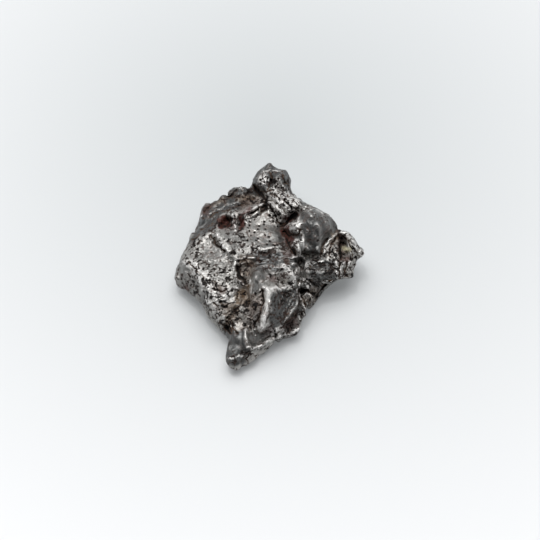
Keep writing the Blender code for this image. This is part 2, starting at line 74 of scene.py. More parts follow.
# Ridges and creases: name, path, half width in mm, and rise in mm or, below zero, depth
STROKES = (
    ("ridge between the rusty pits", ((233, 216), (234, 223), (236, 231)), 0.18, 0.45),
    ("brow lip",
     ((241, 221), (244, 216), (248, 212), (253, 208.5), (258, 206.5), (263, 204)), 0.18, 0.5),
    ("slot under the brow", ((250, 213.5), (254, 211), (259, 209), (264, 207)), 0.14, -0.6),
    ("hook at the brow's end", ((263, 202), (267, 204), (266, 209), (262, 211)), 0.24, -0.7),
    ("middle plate lip", ((217, 234), (220, 240), (224, 246), (229, 252)), 0.2, 0.45),
    ("crevice by the plate", ((212, 236), (215, 241), (219, 246), (224, 251)), 0.2, -0.6),
    ("left bowl edge", ((185, 264), (193, 270), (199, 277), (203, 286)), 0.24, 0.45),
    ("groove by the left bowl's edge", ((188, 262), (196, 269), (203, 277), (207, 285)), 0.16, -0.4),
    ("left bowl edge", ((184, 262), (190, 260), (197, 263)), 0.25, 0.3),
    ("rim above the upper hole", ((235, 265), (238, 259), (246, 256.5), (254, 259)), 0.2, 0.4),
    ("upper hole rib", ((240, 264), (246, 261), (252, 264)), 0.15, 0.3),
    ("lip below the upper hole", ((236, 273), (238, 280), (245, 285)), 0.18, 0.45),
    ("upper hole deep side", ((237, 267), (239, 276), (245, 282)), 0.32, -0.8),
    ("knee edge", ((251, 299), (250, 289), (252, 279)), 0.2, 0.35),
    ("front ridge crest", ((265, 287), (269, 293), (269, 304), (265, 315), (260, 330)), 0.4, 0.5),
    ("front ridge crest", ((266, 290), (274, 287), (281, 290)), 0.25, 0.45),
    ("groove by the crest", ((262, 291), (264, 302), (260, 314), (256, 324)), 0.26, -0.35),
    ("rib across the ridge foot", ((262, 316), (268, 322), (272, 330)), 0.2, 0.3),
    ("right bump edge", ((276, 286), (286, 287), (293, 284), (297, 276), (296, 264)), 0.2, 0.35),
    ("right slope lower edge", ((297, 290), (297, 302), (291, 315), (281, 325), (270, 335)), 0.2, 0.35),
    ("right slope groove", ((293, 293), (293, 304), (286, 315), (276, 325)), 0.2, -0.15),
    ("horn facet left rim", ((247, 330), (245, 337), (247, 345)), 0.25, 0.25),
    ("horn facet lower rim", ((247, 348), (256, 348), (264, 343), (272, 336)), 0.25, 0.3),
    ("front lobe rim", ((271, 340), (280, 336), (288, 335), (296, 331), (300, 325)), 0.22, 0.45),
    ("front lobe inner rim", ((276, 331), (283, 329), (286, 333)), 0.18, 0.35),
    ("front lobe crease", ((281, 328), (288, 320), (295, 314)), 0.24, -0.5),
    ("ledge above the horn", ((220, 319), (224, 317), (230, 316)), 0.2, 0.4),
    ("crevice above the horn", ((221, 322), (226, 328), (231, 334)), 0.24, -0.6),
    ("crevice above the horn", ((232, 321), (233, 328), (237, 333)), 0.2, -0.45),
    ("crevice above the horn", ((226, 321), (229, 326), (232, 331)), 0.16, -0.35),
    ("horn's end bright edge", ((227, 360), (234, 358), (242, 355)), 0.18, 0.35),
    ("horn's end crease", ((228, 363), (235, 362), (243, 359)), 0.14, -0.25),
    ("shoulder's top edge", ((303, 212), (310, 208), (316, 209), (322, 213)), 0.22, 0.25),
    ("edge down the shoulder", ((300, 214), (298, 222), (302, 234), (305, 246)), 0.22, 0.3),
    ("shoulder foot edge", ((285, 228), (289, 224), (295, 223), (299, 228)), 0.2, 0.4),
    ("crease across the foot", ((283, 232), (290, 235), (297, 236), (301, 230)), 0.22, -0.6),
    ("shoulder facet edge", ((309, 213), (317, 222), (322, 236), (319, 249)), 0.3, 0.1),
    ("shoulder facet edge", ((318, 212), (326, 222), (331, 235)), 0.3, 0.08),
    ("shoulder furrow", ((304, 219), (309, 230), (310, 246)), 0.35, -0.1),
    ("shoulder lower foot edge", ((297, 243), (300, 250), (301, 257)), 0.2, 0.4),
    ("shoulder upper foot edge", ((291, 247), (296, 240), (303, 241)), 0.2, 0.4),
    ("shadow line at the foot", ((287, 239), (290, 246), (295, 254)), 0.26, -0.8),
    ("crevice by the shoulder", ((283, 227), (289, 220), (296, 215)), 0.4, -0.6),
    ("tan facet's edge", ((324, 252), (326, 244), (331, 238), (336, 234)), 0.2, 0.4),
    ("tan facet's crease", ((329, 253), (331, 245), (335, 239)), 0.18, -0.4),
    ("tan facet's edge", ((331, 255), (334, 246), (338, 240)), 0.18, 0.35),
    ("shadow by the tan facet", ((321, 253), (323, 246), (328, 238)), 0.2, -0.4),
    ("arm's end rim", ((341, 232), (347, 233), (353, 240), (356, 248)), 0.24, 0.4),
    ("arm's end crease", ((344, 236), (349, 241), (352, 250)), 0.18, -0.4),
    ("arm's end crease", ((348, 236), (352, 243), (356, 252)), 0.16, -0.3),
    ("arm's cavity wall", ((339, 234), (339, 246), (341, 258)), 0.22, -0.5),
    ("arm block left end", ((309, 263), (305, 266), (305, 273), (309, 276)), 0.22, 0.45),
    ("arm block lower edge", ((309, 277), (320, 281), (333, 282)), 0.2, 0.4),
    ("arm block upper edge", ((306, 263), (313, 265), (322, 261)), 0.2, 0.35),
    ("arm block rib", ((312, 270), (320, 273), (330, 272)), 0.18, 0.25),
    ("rib under the arm", ((336, 262), (338, 270), (337, 278)), 0.2, 0.4),
    ("rib under the arm", ((343, 262), (341, 269), (343, 277)), 0.18, 0.4),
    ("rib under the arm", ((350, 261), (349, 268), (351, 275)), 0.18, 0.4),
    ("groove under the arm", ((340, 262), (339, 270), (340, 278)), 0.18, -0.4),
    ("groove under the arm", ((346, 263), (345, 270), (347, 277)), 0.18, -0.45),
    ("lobe left rib", ((301, 294), (302, 302), (307, 312)), 0.18, 0.45),
    ("lobe right rib", ((301, 294), (309, 294), (315, 298), (313, 306), (308, 313)), 0.18, 0.45),
    ("lobe middle rib", ((304, 296), (307, 303), (308, 311)), 0.14, 0.3),
    ("lobe side rib", ((306, 300), (312, 298)), 0.14, 0.3),
    ("lobe groove", ((304, 299), (307, 307), (309, 310)), 0.14, -0.35),
    ("slot above the lobe", ((299, 291), (306, 291), (314, 293)), 0.22, -0.6),
    ("upper lobe rim", ((299, 287), (300, 280), (305, 278), (309, 283), (306, 289)), 0.2, 0.45),
    ("slot by the lobe", ((315, 298), (320, 290), (325, 284)), 0.26, -0.7),
    ("bead rim", ((201, 216), (200, 209), (204, 204), (210, 204)), 0.22, 0.3),
    ("bead hollow", ((203, 214), (206, 209), (210, 207)), 0.26, -0.35),
    ("curl", ((233, 187), (238, 187), (244, 189)), 0.2, 0.3),
    ("hollow under the curl", ((228, 196), (233, 195), (236, 190)), 0.26, -0.6),
    ("streak", ((207, 214), (218, 209), (230, 204), (238, 200)), 0.16, 0.15),
    ("streak", ((204, 219), (216, 214), (228, 210), (240, 206)), 0.18, -0.3),
    ("streak", ((196, 231), (208, 221), (222, 213), (236, 209)), 0.2, 0.12),
    ("streak", ((192, 240), (203, 230), (212, 224), (218, 219)), 0.2, -0.25),
    ("knob's left facet rim", ((258, 186), (258, 178), (263, 172), (269, 170)), 0.22, 0.3),
    ("knob rim", ((272, 171), (279, 171), (284, 175)), 0.2, 0.25),
    ("crease behind the knob's ear", ((282, 172), (284, 180), (289, 187)), 0.18, -0.4),
    ("knob valley", ((271, 172), (271, 180), (268, 189)), 0.22, -0.35),
    ("knob bright edge", ((278, 179), (283, 184), (286, 191)), 0.22, 0.35),
    ("crevice under the knob", ((254, 186), (258, 192), (264, 197), (267, 201)), 0.3, -0.7),
    ("crevice under the knob", ((262, 192), (267, 192), (273, 190)), 0.2, -0.35),
    ("flow line", ((280, 261), (286, 258.5), (291, 259), (297, 256.5)), 0.18, 0.25),
    ("slope crease", ((262, 197), (268, 200), (277, 204), (286, 213)), 0.13, -0.45),
    ("slope crease", ((266, 203), (272, 209), (276, 217), (281, 224)), 0.15, -0.5),
    ("slope crease", ((271, 194), (282, 199), (292, 206), (299, 212)), 0.13, -0.4),
    ("slope crease", ((277, 192), (287, 196), (297, 203)), 0.12, -0.35),
    ("slope ridge", ((267, 200), (274, 207), (281, 213), (288, 217)), 0.15, 0.35),
    ("bead ring",
     ((358, 253), (359, 250.5), (361, 249.5), (363.5, 251), (364, 253.5), (361, 256.5), (358, 253)),
     0.14, 0.3),
    ("bump streak", ((278, 266), (284, 264), (291, 267)), 0.18, 0.3),
    ("flow line", ((254, 269), (266, 265), (280, 267), (294, 264)), 0.2, 0.2),
    ("flow line", ((238, 250), (250, 246), (262, 249), (276, 247)), 0.25, 0.12),
    ("ridge under the bump", ((278, 268), (286, 267), (292, 272), (294, 279)), 0.22, 0.35),
    ("brown dimple rim", ((267, 280), (270, 274), (277, 273)), 0.18, 0.25),
    ("lower face rough edge", ((206, 297), (210, 303), (217, 311)), 0.24, 0.4),
    ("lower face rough step", ((208, 290), (214, 291), (222, 296), (229, 293)), 0.2, 0.35),
    ("lower face furrow", ((212, 288), (219, 291), (225, 290)), 0.2, -0.45),
    ("lower face furrow", ((209, 305), (214, 303), (218, 308)), 0.18, -0.45),
    ("rib by the lower hole", ((231, 301), (233, 292), (237, 288)), 0.18, 0.3),
    ("lower face brown furrow", ((237, 308), (233, 314), (229, 320)), 0.3, -0.3),
)

# Hollows and swellings: name, place, half width and half height in steps, turn in degrees
# anticlockwise, rise in mm or, below zero, depth, and how steep the sides are, from 1 to 4
DABS = (
    ("rusty pit", (224, 224), 6, 5, 20, -0.45, 2),
    ("rusty pit upper part", (229, 219.5), 4, 3, 30, -0.4, 2),
    ("rusty pit lump", (221, 221), 3, 3, 0, 0.3, 1),
    ("right rusty pit", (239.5, 223), 4, 7, 10, -0.8, 2),
    ("hook", (264, 207), 4, 4, 0, -0.4, 2),
    ("shoulder upper swelling", (310, 216), 5, 4, -30, 0.25, 1),
    ("shoulder swelling", (315, 241), 9, 10, 0, 0.5, 1),
    ("foot bump", (292, 228.5), 7, 4.5, 15, 0.5, 2),
    ("lower foot bump", (299.5, 247), 6, 6.5, 0, 0.4, 2),
    ("shoulder bead", (316, 211), 3, 3, 0, 0.35, 1),
    ("shoulder bead", (323, 216), 3, 3, 0, 0.35, 1),
    ("shoulder bead", (328, 222), 3, 3, 0, 0.3, 1),
    ("shoulder bead", (333, 231), 3, 3, 0, 0.3, 1),
    ("knee bump", (263, 281), 3, 4, 0, 0.25, 1),
    ("horn facet bump", (249.5, 343), 3, 3, 0, 0.35, 1),
    ("horn end, left", (229, 360), 3, 4, 0, 0.25, 2),
    ("horn end, middle", (234, 361), 3, 3, 0, 0.2, 2),
    ("horn end, right", (240, 359), 3, 3, 0, 0.25, 2),
    ("right slope dark pit", (287, 297), 5, 6, 20, -0.35, 2),
    ("pit below it", (285, 304), 3, 4, 0, -0.25, 2),
    ("arm pit", (343, 243), 4, 10, 8, -0.9, 2),
    ("pale grain", (346.5, 248.5), 4.5, 3.5, -25, 0.9, 3),
    ("ribbed mass", (352, 240), 6, 8, 30, 0.7, 2),
    ("fill under the brow", (256, 213), 13, 4.5, 31, 0.7, 2),
    ("arm lower pit", (343, 257), 3, 5, 0, -0.5, 2),
    ("brown dimple", (273, 278), 5, 5, 0, -0.3, 2),
    ("front lobe pit", (288, 325), 7, 4, 35, -0.6, 2),
    ("left corner tip", (183, 287), 3, 3, 0, 0.3, 1),
    ("curl lump", (230, 193), 3, 3, 0, 0.3, 1),
    ("bead", (361, 253), 4, 4, 0, 0.3, 1),
    ("dark pit by the shoulder's foot", (285, 234), 5, 6, -30, -0.7, 2),
    ("dark gap", (308, 255), 8, 4, -10, -0.6, 2),
    ("pit above the horn", (228, 329), 4, 3, 40, -0.15, 2),
    ("lower face pit", (220, 291), 4, 2, -10, -0.3, 2),
    ("left bowl pit", (204, 271), 6, 2, -10, -0.25, 2),
    ("left bowl upper pit", (212, 253), 4, 2, 40, -0.25, 2),
    ("middle plate pit", (232, 254), 4, 2, 0, -0.3, 2),
    ("crevice mouth", (215, 240), 3, 5, -40, -0.5, 3),
    ("horn facet floor", (256, 338), 9, 5, 25, 0.35, 1.5),
    ("crest upper part", (268, 299), 5, 13, -8, 0.5, 4),
    ("crest lower part", (264, 319), 4, 12, 22, 0.5, 4),
    ("crest dent", (271, 305), 3, 3, 0, -0.3, 2),
    ("hollow behind the brow", (247, 205), 13, 5, 30, -0.7, 1.5),
    ("upper hole upper side", (246, 264), 8, 4, 10, 0.5, 1),
)

# Small black pits: where each group is, and their places
PITS = (
    ("central plate",
     ((258, 215), (270, 215.5), (273.5, 221), (264.5, 221.5), (264, 224), (259, 225.5), (258, 228.5),
      (265.5, 228.5), (250, 221.5), (249.5, 225), (254.5, 232), (249.5, 230.5), (269, 236.5),
      (258, 238), (245, 223.5))),
    ("band below the plate",
     ((267, 244), (273.5, 244.5), (275, 245), (277.5, 244.5), (251.5, 247), (252.5, 248.5), (253, 250),
      (269, 257), (270, 256.5), (261.5, 253), (247.5, 240), (244, 236.5))),
    ("knob",
     ((260.5, 180), (262.5, 178.5), (265.5, 176.5), (264, 182), (260.5, 184), (278.5, 179),
      (275, 183.5), (276.5, 186), (281.5, 188), (271, 180))),
    ("slope below the knob",
     ((280, 207.5), (281, 224), (284, 205), (288, 203), (291, 207), (279, 199), (274, 197),
      (286, 199))),
)

# Areas with a grain: name, corners, direction of the grain in degrees clockwise from the grid's
# x, length and width of its streaks in mm, and height in mm. A height above zero makes sharp
# ridges with soft furrows between them. Below zero it makes sharp creases, painted dark as shade.
GRAINS = (
    ("slope below the knob",
     ((268, 191), (290, 190), (308, 207), (294, 216), (278, 206)), 32, 5.0, 0.45, -0.36),
    ("slope left side",
     ((262, 200), (270, 198), (286, 210), (290, 218), (282, 228), (270, 214)), 58, 5.0, 0.5, -0.4),
    ("back left slope",
     ((184, 252), (199, 226), (203, 210), (216, 200), (240, 195), (248, 200), (222, 214), (204, 232),
      (191, 244)), -38, 5.0, 0.55, 0.12),
    ("shoulder",
     ((298, 214), (316, 207), (334, 222), (338, 232), (322, 250), (304, 252)), 62, 3.0, 0.3, 0.04),
    ("ridge right slope",
     ((270, 290), (296, 287), (298, 310), (282, 325), (270, 331)), -62, 3.2, 0.45, 0.16),
    ("flowing band",
     ((228, 256), (252, 246), (286, 252), (302, 262), (296, 272), (262, 272)), 0, 3.0, 0.5, 0.1),
    ("horn", ((228, 331), (246, 331), (246, 352), (228, 354)), 80, 4.0, 0.4, 0.03),
    ("left bowl",
     ((190, 245), (210, 236), (226, 256), (230, 280), (206, 286), (188, 262)), 25, 1.4, 0.55, -0.14),
    ("lower face", ((204, 282), (238, 280), (236, 316), (222, 330), (206, 304)), -35, 1.4, 0.5, -0.26),
    ("ridge front",
     ((250, 290), (262, 288), (263, 310), (256, 330), (248, 330), (240, 312)), -50, 1.2, 0.5, -0.26),
    ("arm block",
     ((304, 260), (322, 258), (342, 262), (342, 282), (318, 282), (304, 276)), 12, 2.0, 0.5, -0.2),
    ("tan facets", ((321, 256), (324, 244), (334, 232), (339, 238), (338, 256)), -60, 2.2, 0.4, -0.3),
    ("ribbed mass", ((343, 231), (352, 234), (361, 247), (353, 251), (345, 246)), 48, 2.4, 0.4, -0.45),
    ("arm underside",
     ((338, 257), (350, 254), (360, 254), (356, 276), (340, 280)), 85, 2.0, 0.45, -0.4),
    ("lobes under the arm",
     ((298, 280), (320, 282), (316, 304), (304, 318), (298, 300)), 60, 1.6, 0.45, -0.3),
    ("back rim", ((238, 190), (256, 188), (262, 200), (240, 210)), 70, 1.5, 0.5, 0.25),
    ("knob", ((255, 176), (268, 168), (288, 174), (290, 190), (258, 190)), 60, 1.6, 0.5, 0.16),
)

# What covers the metal, and how smooth or coarse it is: areas with name, corners and amount
PATINA = (
    ("back left slope",
     ((180, 256), (197, 224), (198, 205), (216, 196), (234, 184), (252, 184), (258, 196), (240, 207),
      (222, 213), (216, 230), (206, 233), (192, 241)), 1.0),
    ("knob", ((250, 190), (252, 176), (268, 160), (292, 170), (294, 192), (276, 190)), 1.0),
    ("slope back", ((286, 190), (292, 188), (308, 204), (304, 206), (292, 198)), 0.8),
    ("shoulder",
     ((299, 212), (316, 205), (336, 220), (342, 234), (326, 246), (318, 254), (304, 256), (286, 246),
      (284, 224), (298, 222)), 0.8),
    ("ridge right slope",
     ((271, 290), (296, 286), (300, 300), (298, 318), (282, 328), (270, 334), (268, 318)), 1.0),
    ("horn", ((224, 328), (246, 330), (250, 352), (240, 368), (222, 366)), 1.0),
    ("horn facet", ((246, 330), (268, 330), (274, 338), (262, 350), (248, 352)), 0.5),
    ("left flank",
     ((170, 262), (184, 261), (198, 276), (206, 292), (212, 312), (190, 304), (172, 290)), 0.5),
    ("flowing band",
     ((240, 256), (256, 250), (286, 252), (300, 260), (296, 270), (262, 272), (236, 264)), 1.0),
    ("middle plate", ((222, 234), (244, 232), (262, 242), (250, 254), (230, 254)), 0.35),
    ("left bowl", ((188, 250), (210, 236), (226, 254), (224, 280), (202, 278)), 0.2),
    ("lower hole", ((234, 290), (250, 284), (252, 306), (236, 308)), 0.5),
    ("central plate edge", ((264, 234), (282, 226), (288, 250), (262, 250)), 0.5),
    ("knee", ((249, 300), (249, 276), (256, 270), (266, 276), (262, 290)), 0.5),
    ("arm block", ((302, 258), (322, 258), (340, 262), (338, 282), (318, 282), (303, 276)), 0.9),
    ("under the arm", ((296, 276), (330, 280), (324, 300), (300, 330), (294, 300)), 0.6),
    ("front lobe", ((268, 344), (280, 326), (298, 312), (306, 318), (298, 340)), 0.5),
)
CLEAN = (
    ("knob's left facet",
     ((258, 186), (258, 177), (264, 172), (269, 173), (268, 182), (262, 188)), 1.0),
    ("knob's right facet", ((273, 183), (279, 178), (286, 187), (286, 192), (276, 190)), 0.8),
    ("ridge crest",
     ((262, 290), (270, 286), (280, 287), (272, 296), (271, 308), (266, 320), (262, 332), (258, 328),
      (264, 312)), 1.0),
    ("lower face", ((206, 286), (216, 282), (236, 288), (234, 300), (224, 316), (212, 312)), 0.7),
    ("slope below the knob",
     ((268, 192), (288, 190), (306, 206), (292, 214), (282, 224), (268, 204)), 0.9),
    ("left bowl edge", ((186, 262), (196, 262), (208, 272), (212, 284), (204, 288), (192, 274)), 1.0),
    ("lower tan facet", ((322, 256), (324, 246), (331, 242), (337, 247), (337, 257)), 0.7),
    ("arm block left end",
     ((303, 263), (311, 260), (312, 265), (308, 270), (312, 278), (303, 278)), 0.7),
    ("ribbed mass", ((343, 231), (352, 234), (361, 247), (353, 251), (345, 246)), 0.4),
    ("shoulder foot", ((286, 225), (297, 223), (300, 231), (288, 231)), 0.5),
    ("shoulder lower foot", ((293, 243), (304, 240), (306, 252), (298, 256)), 0.5),
)
RUST = (
    ("rusty pit", ((217, 218), (226, 216), (234, 218), (233, 229), (222, 229), (217, 225)), 1.0),
    ("right rusty pit", ((236, 214), (243, 214), (244.5, 222), (243, 231), (237, 232)), 1.0),
    ("strip along the brow",
     ((238, 216), (243, 210), (249, 205.5), (252, 208.5), (247, 214), (243, 219)), 0.9),
    ("behind the brow",
     ((233, 212), (240, 205), (252, 197), (262, 198), (264, 203), (250, 208), (240, 218)), 0.3),
    ("lower face furrow", ((214, 289), (220, 287), (226, 291), (222, 295)), 0.7),
    ("crevice by the shoulder", ((280, 230), (286, 218), (298, 211), (300, 214), (292, 223)), 1.0),
    ("pit by the shoulder's foot", ((277, 230), (288, 226), (294, 238), (290, 246), (280, 238)), 1.0),
    ("brown dimple", ((267, 277), (272, 273), (279, 276), (276, 283), (268, 284)), 0.6),
    ("bead", ((200, 217), (200, 206), (206, 203), (212, 206), (210, 214)), 0.55),
    ("arm's cavity",
     ((338, 232), (342, 233), (345, 244), (344, 254), (352, 254), (350, 262), (339, 262)), 0.7),
    ("front lobe", ((280, 330), (288, 319), (297, 313), (300, 324), (290, 332)), 0.5),
    ("left corner", ((180, 286), (188, 284), (190, 291), (182, 292)), 0.6),
    ("ridge foot", ((252, 300), (262, 294), (262, 312), (254, 326), (246, 316)), 0.3),
    ("ridge foot edge", ((262, 330), (272, 324), (276, 332), (266, 337)), 0.5),
    ("band foot", ((282, 250), (290, 247), (298, 254), (286, 257)), 0.5),
)
TAN = (
    ("upper hole", ((236, 262), (242, 255), (254, 256), (256, 268), (248, 281), (239, 279)), 0.6),
    ("lower hole", ((234, 294), (240, 285), (251, 284), (251, 304), (244, 309), (235, 304)), 0.9),
    ("upper tan facet", ((327, 243), (333, 231), (340, 236), (338, 246)), 0.8),
    ("lower tan facet", ((322, 256), (324, 246), (331, 242), (337, 247), (337, 257)), 0.3),
    ("lobe", ((299, 297), (308, 292), (318, 286), (318, 302), (309, 314)), 0.6),
    ("lower face brown pit", ((228, 320), (232, 308), (240, 306), (238, 316)), 0.7),
    ("behind the brow", ((238, 196), (256, 192), (262, 200), (240, 209)), 0.6),
    ("lower face furrow", ((213, 288), (219, 284), (228, 289), (224, 294)), 0.6),
    ("lower face foot", ((220, 308), (228, 302), (238, 304), (236, 322), (226, 324)), 0.7),
    ("ridge foot", ((248, 300), (256, 294), (264, 296), (258, 312), (248, 322)), 0.5),
    ("slope above the horn", ((236, 318), (246, 312), (248, 326), (238, 330)), 0.4),
    ("back left", ((204, 204), (230, 192), (240, 196), (214, 207)), 0.35),
)
SMOOTH = (
    ("central plate", ((247, 216), (262, 209), (277, 222), (283, 240), (264, 248), (250, 241)), 0.7),
    ("left bowl", ((200, 242), (212, 240), (224, 254), (220, 264), (204, 262)), 0.7),
    ("horn", ((226, 332), (246, 330), (247, 350), (228, 356)), 1.0),
    ("horn facet", ((246, 330), (270, 332), (268, 342), (248, 349)), 0.8),
    ("shoulder",
     ((299, 213), (316, 206), (336, 222), (338, 234), (320, 252), (304, 254), (298, 228)), 0.75),
    ("knee", ((250, 300), (250, 276), (257, 270), (267, 276), (264, 290)), 0.9),
    ("ridge right slope", ((272, 308), (296, 300), (299, 308), (290, 322), (272, 332)), 0.4),
    ("back left slope",
     ((184, 254), (198, 226), (214, 206), (240, 196), (222, 213), (206, 230), (192, 241)), 0.7),
    ("flowing band", ((244, 258), (262, 252), (286, 254), (298, 262), (264, 270)), 0.4),
    ("knob tip and edge",
     ((250, 190), (254, 174), (268, 160), (284, 168), (290, 176), (277, 175), (262, 172), (257, 186)),
     0.8),
    ("bumps at the left corner", ((172, 276), (180, 270), (184, 288), (176, 288)), 0.4),
    ("ridge crest",
     ((263, 288), (282, 285), (282, 292), (272, 298), (270, 312), (262, 330), (257, 328), (263, 308)),
     0.6),
)
COARSE = (
    ("lower face",
     ((202, 284), (214, 284), (232, 290), (238, 312), (236, 330), (222, 334), (207, 312)), 1.0),
    ("ridge foot", ((252, 298), (262, 290), (260, 316), (254, 332), (240, 312)), 0.9),
    ("slope below the knob",
     ((266, 192), (288, 190), (308, 208), (292, 218), (282, 226), (268, 206)), 0.15),
    ("ridge crest",
     ((263, 288), (278, 286), (274, 300), (272, 312), (262, 332), (257, 328), (262, 308)), 0.1),
    ("knob's facets", ((259, 186), (259, 178), (265, 174), (278, 178), (288, 190)), 0.7),
    ("arm block", ((302, 258), (322, 256), (342, 262), (342, 282), (318, 282)), 0.5),
    ("arm", ((321, 256), (325, 238), (340, 230), (362, 250), (352, 282), (338, 262)), 0.8),
    ("lobes under the arm", ((297, 278), (322, 282), (318, 300), (303, 318)), 0.8),
    ("front lobe", ((268, 342), (280, 326), (298, 312), (304, 322), (296, 338)), 0.8),
    ("left bowl edge", ((184, 258), (200, 258), (216, 268), (224, 284), (206, 292), (192, 272)), 0.6),
    ("back rim", ((236, 190), (258, 186), (264, 200), (246, 212), (238, 204)), 0.7),
    ("lower hole", ((234, 288), (250, 284), (252, 306), (236, 308)), 0.7),
    ("left flank", ((172, 266), (186, 262), (200, 280), (212, 312), (222, 332), (196, 306)), 0.35),
    ("middle plate and left bowl", ((206, 250), (224, 236), (244, 246), (240, 260), (224, 276)), 0.4),
    ("ridge right slope", ((276, 292), (296, 288), (298, 300), (286, 308)), 0.5),
    ("right bump top", ((276, 264), (296, 264), (296, 276), (284, 274)), 0.5),
    ("rusty pits", ((216, 216), (242, 216), (242, 232), (218, 232)), 0.6),
)
PALE = (
    ("grain", ((342.5, 247), (345, 246.5), (350, 249), (350, 251), (346, 251.5), (343, 249.5)), 1.0),
)
AREAS = dict(patina=PATINA, clean=CLEAN, rust=RUST, tan=TAN, smooth=SMOOTH, coarse=COARSE, pale=PALE)

NOISE_SEED = 3

# Noise worked into the skin all over: size and depth in mm, the level where hollows turn to
# rises, and how much the show face loses of wrinkles, and smooth metal of roughness
WRINKLE_SIZE = 2.4
WRINKLE = 0.2
WRINKLE_LEVEL = 0.35
WRINKLE_LOSS = 0.75
ROUGHNESS_SIZE = 1.1
ROUGHNESS = 0.1
ROUGHNESS_LOSS = 0.8
GRIT_SIZE = 0.55
GRIT = 0.22
GRIT_LEVEL = 0.25

# Coarse patches anywhere: size in mm, usual amount, how much smooth metal loses of it, and the
# share of roughness and pits left where metal isn't coarse
COARSE_SIZE = 3.0
COARSE_USUAL = 0.2
COARSE_LOSS = 0.85
FINE_SHARE = 0.3

# Scattered pits: spacing in mm, share of the places that have one, radius and depth in mm, and
# the smallest radius and its spread as shares of it. Pits in PITS have the radius PLACED_PIT.
PIT_SPACING = 1.1
PIT_SHARE = 0.4
PIT_RADIUS = 0.3
PIT_DEPTH = 0.3
PIT_SMALLEST = 0.6
PIT_SPREAD = 0.8
PLACED_PIT = 0.26

# Strokes: reach of their bends in steps and size in mm; usual, least and most strength along
# them, and size in mm of its changes; steepness; and rise or depth in mm of a full lip or crease
STROKE_BEND = 2.0
BEND_SIZE = 1.3
STRENGTH = 0.9
LEAST_STRENGTH = 0.6
MOST_STRENGTH = 1.4
STRENGTH_SIZE = 1.3
STEEPNESS = 0.3
LIP = 0.3

# Areas: softness of the edge in mm, how far noise moves it in steps, and size of a move in mm
AREA_EDGE = 0.45
AREA_WANDER = 4.0
WANDER_SIZE = 1.6

# Grains: soft edge in mm, top and fall as shares of the height, width and strength of a crease
# painted black as shade, and how far each layer's noise lies from the last
GRAIN_EDGE = 0.6
GRAIN_TOP = 0.7
GRAIN_FALL = 2.4
GRAIN_CREASE = 0.07
CREASE_STRENGTH = 3
LAYER_SHIFT = 7.3

# How squarely a fully seen point faces the eye, and where its sight line starts, in mm
FULLY_SEEN = 0.25
SIGHT_START = 0.3

# On the hidden sides: usual patina and its spread, size of its blotches in mm, smoothness
HIDDEN_PATINA = 0.55
PATINA_SPREAD = 0.5
BLOTCH_SIZE = 5.0
HIDDEN_SMOOTH = 0.7

# Marks for hollows: rounds of evening out the skin to compare it with, depth in mm of a full mark
HOLLOWS = {"hollow": (6, 0.12), "deep": (60, 0.8)}

# Colours of the metal and its cover. Noise mixes the two of a pair.
IRON = (0.32, 0.31, 0.293, 1), (0.50, 0.485, 0.46, 1)
BRIGHT_IRON = (0.55, 0.535, 0.515, 1), (0.78, 0.765, 0.74, 1)
DARK_IRON = (0.066, 0.066, 0.065, 1), (0.135, 0.135, 0.132, 1)
RED_RUST = (0.11, 0.018, 0.010, 1), (0.03, 0.008, 0.005, 1)
# Painted highlight: near white along the crests of lips
LIP_HIGHLIGHT_COLOUR = (0.93, 0.91, 0.88, 1)
CRUST_COLOUR = (0.13, 0.078, 0.038, 1)
# Painted shade: near black with a rust tint, deep in clefts
CLEFT_SHADE_COLOUR = (0.03, 0.009, 0.007, 1)
FRINGE_COLOUR = (0.07, 0.032, 0.020, 1)
SPECK_COLOUR = (0.006, 0.004, 0.003, 1)
PALE_COLOUR = (0.80, 0.73, 0.50, 1)
SPECULAR = 0.25

# The metal's noise: features to a mm, and how much detail they have
FINE_NOISE = 2.8, 3.0
MIDDLING_NOISE = 0.9, 5.0
BROAD_NOISE = 0.28, 4.0
CLUSTER_NOISE = 0.45, 2.0
STREAK_NOISE = 1.0, 3.0
STREAK_STRETCH = (5.0, 0.8, 0.8)
# Bends in specks, lines and facets: features to a mm, reach in mm
BENDS = (1.4, 0.7), (4.0, 0.3)

# Black specks: cells to a mm, and reach in cells; share of the cells with one, on fine and on
# coarse metal; least and greatest size and soft edge as shares of the reach; how black the
# faintest is, and the share of them that aren't fully black
LARGE_SPECKS = 1.25, 0.38
SMALL_SPECKS = 2.1, 0.46
SPECK_SHARES = 0.25, 0.65
SPECK_SIZES = 0.45, 1.2
SPECK_EDGE = 0.4
FAINTEST_SPECK = 0.4
FAINTER_SHARE = 0.7

# Dark lines: features to a mm, and width. Facets: cells to a mm.
LINES = 0.6, 0.075
FACETS = 2.2

# Relief in mm that the shading alone shows
RELIEF = {"middling": 0.08, "fine": 0.06, "facets": 0.12, "streaks": 0.04, "lines": 0.12,
          "large specks": 0.12, "small specks": 0.08}
RELIEF_STRENGTH = 0.9

# The floor, in metres, and its colour near the object, darker there as painted shade, and further out
FLOOR_SIZE = 3.0
FLOOR_MIDDLE = (0.0, 0.035, 0.0)
FLOOR_REACH = 0.10
FLOOR_NEAR_SHADED = (0.41, 0.43, 0.435, 1)
FLOOR_FAR = (0.64, 0.645, 0.65, 1)
FLOOR_GLOW = 0.25
FLOOR_ROUGHNESS = 0.6

# Lights: name, place in metres, size in metres, power in watts
LIGHTS = (
    ("overhead softbox", (-0.04, 0.09, 0.55), 0.66, 3.3),
    ("small lamp", (-0.08, 0.05, 0.6), 0.05, 0.4),
)
# The sky's colours, and how far towards the front, from 0 to 1, it starts and ends to turn dim
SKY_ABOVE = (0.96, 0.98, 1.0, 1)
SKY_FRONT = (0.10, 0.10, 0.105, 1)
SKY_TURN = 0.45, 0.85
SKY_STRENGTH = 0.66


def depth_of(points):
    """Each point's distance in front of the eye, as a share of EYE_DISTANCE."""
    return (points - np.array(EYE)) @ -np.array(FACE_OUT) / EYE_DISTANCE


